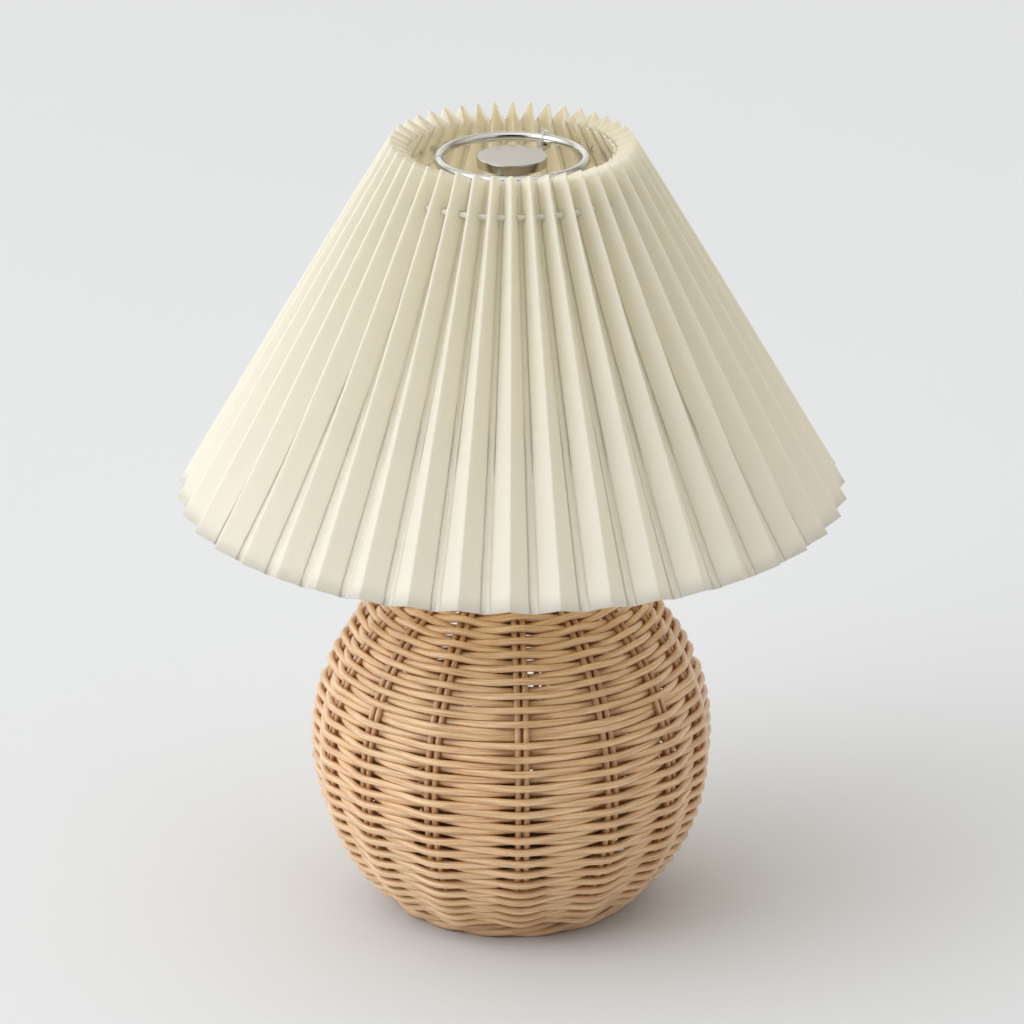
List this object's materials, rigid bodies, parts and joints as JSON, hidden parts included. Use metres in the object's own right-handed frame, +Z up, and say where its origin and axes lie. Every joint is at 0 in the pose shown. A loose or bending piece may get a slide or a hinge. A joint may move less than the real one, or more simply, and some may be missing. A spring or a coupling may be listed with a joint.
{
  "type": "table lamp",
  "caption": "Table lamp with a round woven rattan base, a harp and a conical pleated shade clamped by a flat disc finial.",
  "frame": {"origin": "on the surface that the lamp stands on, below the lamp's axis", "axes": "+Z up along the lamp's axis, -Y to the front, +X to the right"},
  "size_m": [0.3284, 0.3292, 0.3961],
  "materials": {
    "rattan": "matt natural rattan",
    "rattan_border": "matt natural rattan",
    "ivory_pleat": "matt, translucent",
    "cord": "matt",
    "nylon": "clear",
    "nickel": "nickel plated",
    "satin_nickel": "satin nickel",
    "chrome": "polished",
    "brass": "satin",
    "iron": "painted",
    "bakelite": "moulded",
    "card": "matt",
    "opal_glass": "opal white",
    "bush_plastic": "moulded"
  },
  "bodies": {
    "base": {"wicker_globe": "rattan", "foot_border": "rattan_border", "top_border": "rattan_border", "woven_bottom": "rattan", "base_weight": "iron", "cable_bush": "bush_plastic", "lamp_pipe": "nickel", "bottom_washer": "nickel", "bottom_nut": "nickel", "weight_nut": "nickel", "neck_cap": "nickel", "neck_spacer": "nickel", "harp_saddle": "nickel", "socket_cap": "brass", "socket_shell": "brass", "socket_liner": "card", "socket_body": "bakelite", "socket_screw_shell": "brass", "socket_contact": "brass", "terminal_screw_left": "brass", "terminal_screw_right": "brass"},
    "switch": {"switch_spindle": "brass", "switch_knob": "bakelite"},
    "bulb": {"bulb_glass": "opal_glass", "bulb_cap": "nickel", "bulb_contact": "brass"},
    "harp": {"harp_bow": "nickel"},
    "ferrule_left": {"harp_ferrule_left": "nickel"},
    "ferrule_right": {"harp_ferrule_right": "nickel"},
    "swivel": {"harp_swivel_stud": "brass"},
    "shade": {"pleated_shade": "ivory_pleat", "gather_cord": "cord", "carrier_ring": "chrome", "carrier_bar": "chrome", "shade_tie_1": "nylon", "shade_tie_2": "nylon", "shade_tie_3": "nylon"},
    "finial": {"finial": "satin_nickel"}
  },
  "joints": [
    {"name": "switch_turn", "type": "hinge", "parent": "base", "child": "switch", "pos_m": [0, -0.02, 0.2231], "axis": [0, -1, 0], "continuous": true},
    {"name": "bulb_unscrew", "type": "hinge", "parent": "base", "child": "bulb", "pos_m": [0, 0, 0.24], "axis": [0, 0, 1], "continuous": true},
    {"name": "harp_lift", "type": "slide", "parent": "base", "child": "harp", "axis": [0, 0, 1], "range_m": [0, 0.02]},
    {"name": "ferrule_left_slide", "type": "slide", "parent": "harp", "child": "ferrule_left", "axis": [0, 0, 1], "range_m": [0, 0.012]},
    {"name": "ferrule_right_slide", "type": "slide", "parent": "harp", "child": "ferrule_right", "axis": [0, 0, 1], "range_m": [0, 0.012]},
    {"name": "swivel_turn", "type": "hinge", "parent": "harp", "child": "swivel", "pos_m": [0, 0, 0.375], "axis": [0, 0, 1], "continuous": true},
    {"name": "shade_lift", "type": "slide", "parent": "swivel", "child": "shade", "axis": [0, 0, 1], "range_m": [0, 0.19]},
    {"name": "finial_unscrew", "type": "hinge", "parent": "shade", "child": "finial", "pos_m": [0, 0, 0.382], "axis": [0, 0, 1], "continuous": true}
  ]
}
